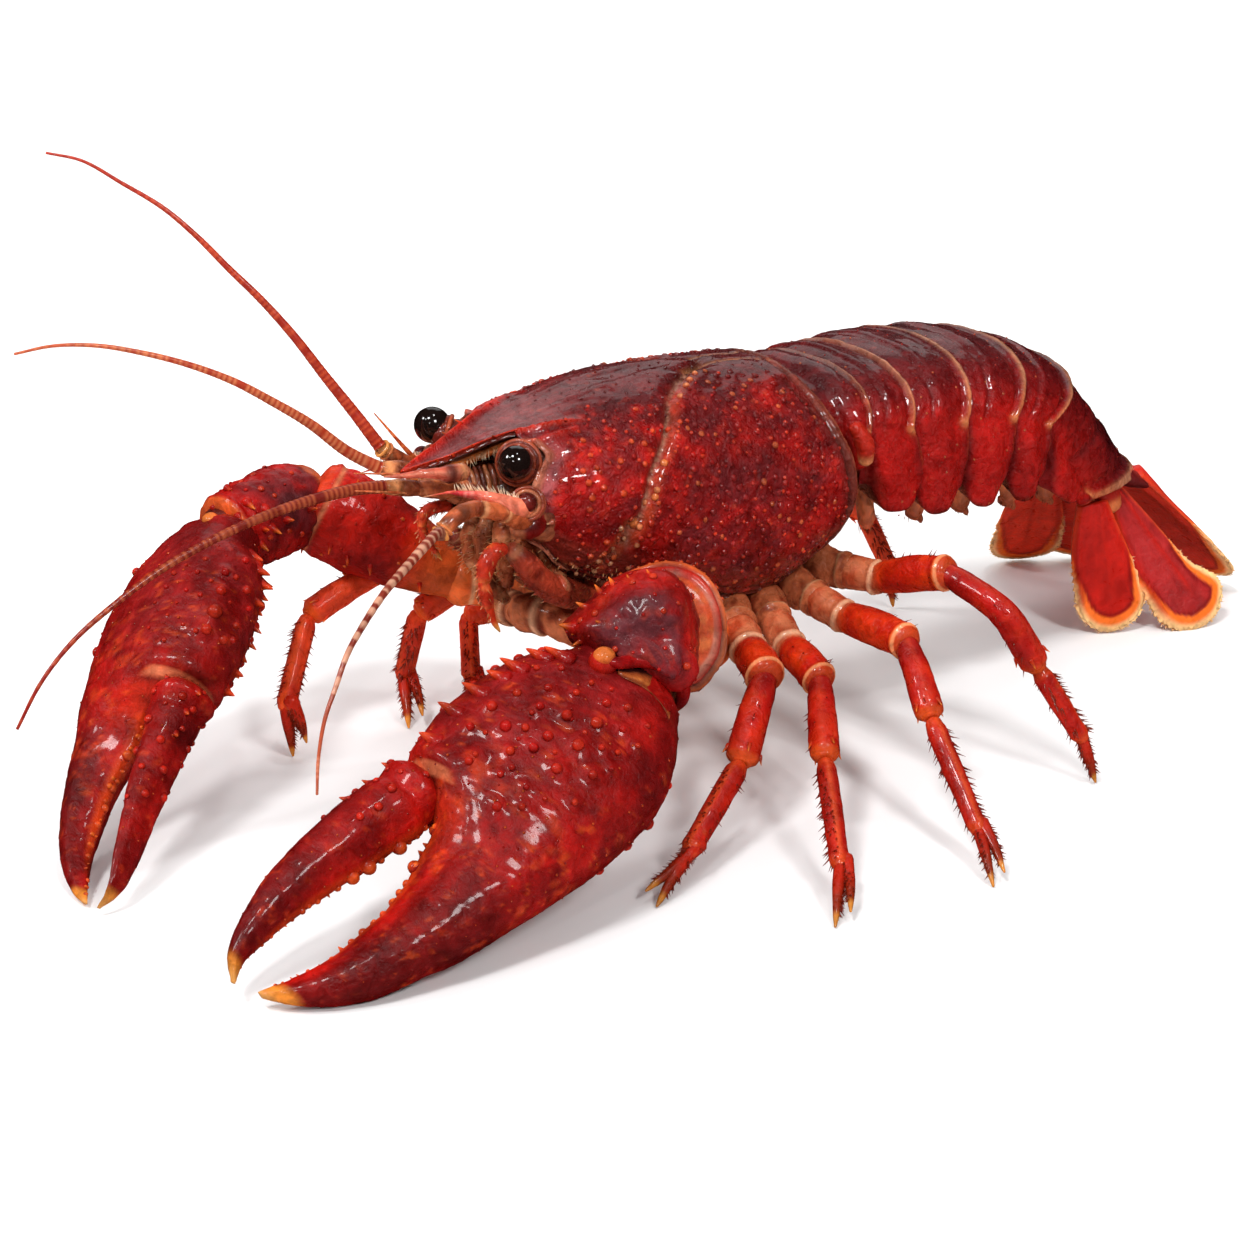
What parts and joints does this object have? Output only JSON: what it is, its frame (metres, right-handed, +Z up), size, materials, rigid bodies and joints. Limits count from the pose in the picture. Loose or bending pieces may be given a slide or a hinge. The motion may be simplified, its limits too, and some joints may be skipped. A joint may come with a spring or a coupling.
{
  "type": "cooked crayfish",
  "caption": "Whole cooked crayfish in its red shell, standing on its legs with its claws forward, long feelers out and the tail fan down.",
  "frame": {"origin": "middle of the footprint's bounding box, on the surface the animal rests on", "axes": "+Z up; the head faces -Y and the tail fan is at +Y; the animal's left side is +X"},
  "size_m": [0.0768, 0.1496, 0.0623],
  "materials": {
    "trunk_shell": "glossy, finely bumped cooked shell, dark maroon on the back, crimson at the sides",
    "tail_shell": "glossy cooked shell rings with thin tan rear edges",
    "claw_shell": "glossy crimson shell with round bumps, orange-tipped spines and amber tips",
    "leg_shell": "glossy red-orange leg shell with orange joint cuffs and amber tips",
    "fan_blade": "satin red blades with a raised rib and an orange fringed rim",
    "eye": "glossy near-black brown",
    "feeler": "ringed red-brown, thin and flexible in the real animal",
    "mouthparts": "satin red-orange and tan mouthparts with short bristles",
    "underside_skin": "satin tan-orange underside and leg sockets"
  },
  "bodies": {
    "root": {"carapace": "trunk_shell", "tail_ring_1": "tail_shell", "tail_ring_2": "tail_shell", "tail_ring_3": "tail_shell", "tail_ring_4": "tail_shell", "tail_ring_5": "tail_shell", "tail_ring_6": "tail_shell", "telson": "fan_blade", "uropod_left_inner": "fan_blade", "uropod_right_inner": "fan_blade", "uropod_left_outer": "fan_blade", "uropod_right_outer": "fan_blade", "claw_left_finger": "claw_shell", "claw_right_finger": "claw_shell", "claw_left_wrist": "claw_shell", "claw_right_wrist": "claw_shell", "claw_left_hand": "claw_shell", "claw_right_hand": "claw_shell", "claw_left_upper_arm": "claw_shell", "claw_right_upper_arm": "claw_shell", "claw_left_base": "claw_shell", "claw_right_base": "claw_shell", "leg_left_1_shin": "leg_shell", "leg_left_1_foot": "leg_shell", "leg_left_1_thigh": "leg_shell", "leg_left_2_shin": "leg_shell", "leg_left_2_foot": "leg_shell", "leg_left_2_thigh": "leg_shell", "leg_left_3_shin": "leg_shell", "leg_left_3_foot": "leg_shell", "leg_left_3_thigh": "leg_shell", "leg_left_4_shin": "leg_shell", "leg_left_4_foot": "leg_shell", "leg_left_4_thigh": "leg_shell", "leg_right_1_shin": "leg_shell", "leg_right_1_foot": "leg_shell", "leg_right_1_thigh": "leg_shell", "leg_right_2_shin": "leg_shell", "leg_right_2_foot": "leg_shell", "leg_right_2_thigh": "leg_shell", "leg_right_3_shin": "leg_shell", "leg_right_3_foot": "leg_shell", "leg_right_3_thigh": "leg_shell", "leg_right_4_shin": "leg_shell", "leg_right_4_foot": "leg_shell", "leg_right_4_thigh": "leg_shell", "eye_left": "eye", "eye_right": "eye", "feeler_root_left": "feeler", "feeler_root_right": "feeler", "feeler_right_upper": "feeler", "feeler_right_lower": "feeler", "feeler_left_upper": "feeler", "feeler_left_lower": "feeler", "small_feelers_left": "mouthparts", "small_feelers_right": "mouthparts", "jaw_leg_left": "mouthparts", "jaw_leg_right": "mouthparts", "underside": "underside_skin"}
  },
  "joints": []
}
